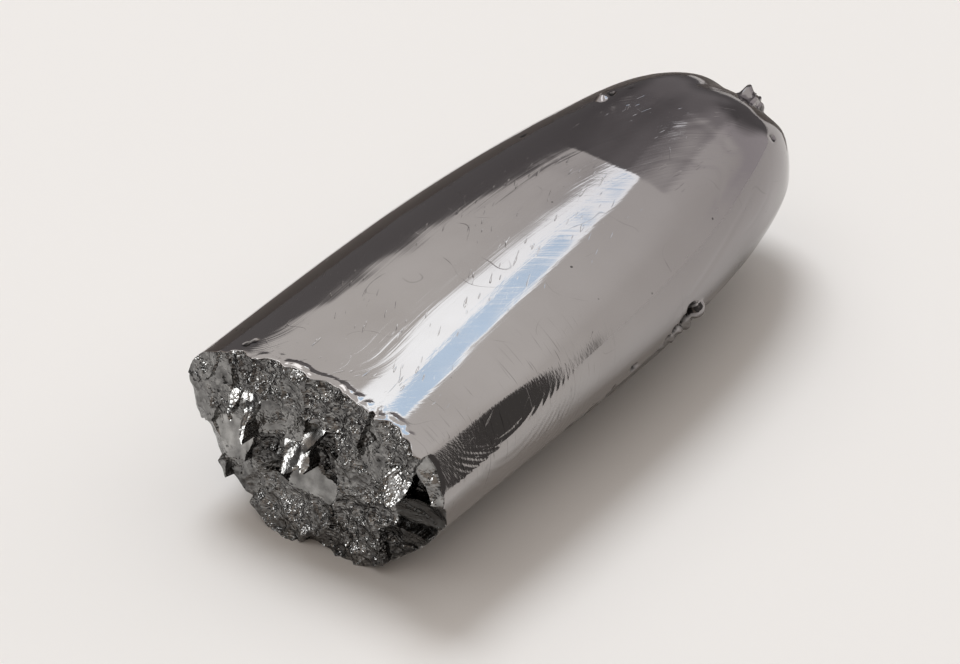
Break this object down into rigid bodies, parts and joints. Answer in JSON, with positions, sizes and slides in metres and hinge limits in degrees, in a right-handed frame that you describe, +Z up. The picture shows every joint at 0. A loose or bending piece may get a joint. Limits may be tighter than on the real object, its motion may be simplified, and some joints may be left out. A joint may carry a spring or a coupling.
{
  "type": "ruthenium bar",
  "caption": "Half of a cast ruthenium bar: loaf-shaped bright grey metal with a crowned top, a rounded nose, a narrow flat base and a coarse broken end.",
  "frame": {"origin": "middle of the bar's box, on the plane of its flat base", "axes": "+X along the bar from the broken end to the nose, +Z up from the flat base to the crown, +Y to the left seen from the broken end"},
  "size_m": [0.035, 0.0154, 0.0105],
  "materials": {
    "ruthenium": "bright as-melted ruthenium with fine scratches on the skin, coarse crystal facets on the break"
  },
  "bodies": {
    "root": {"bar": "ruthenium"}
  },
  "joints": []
}
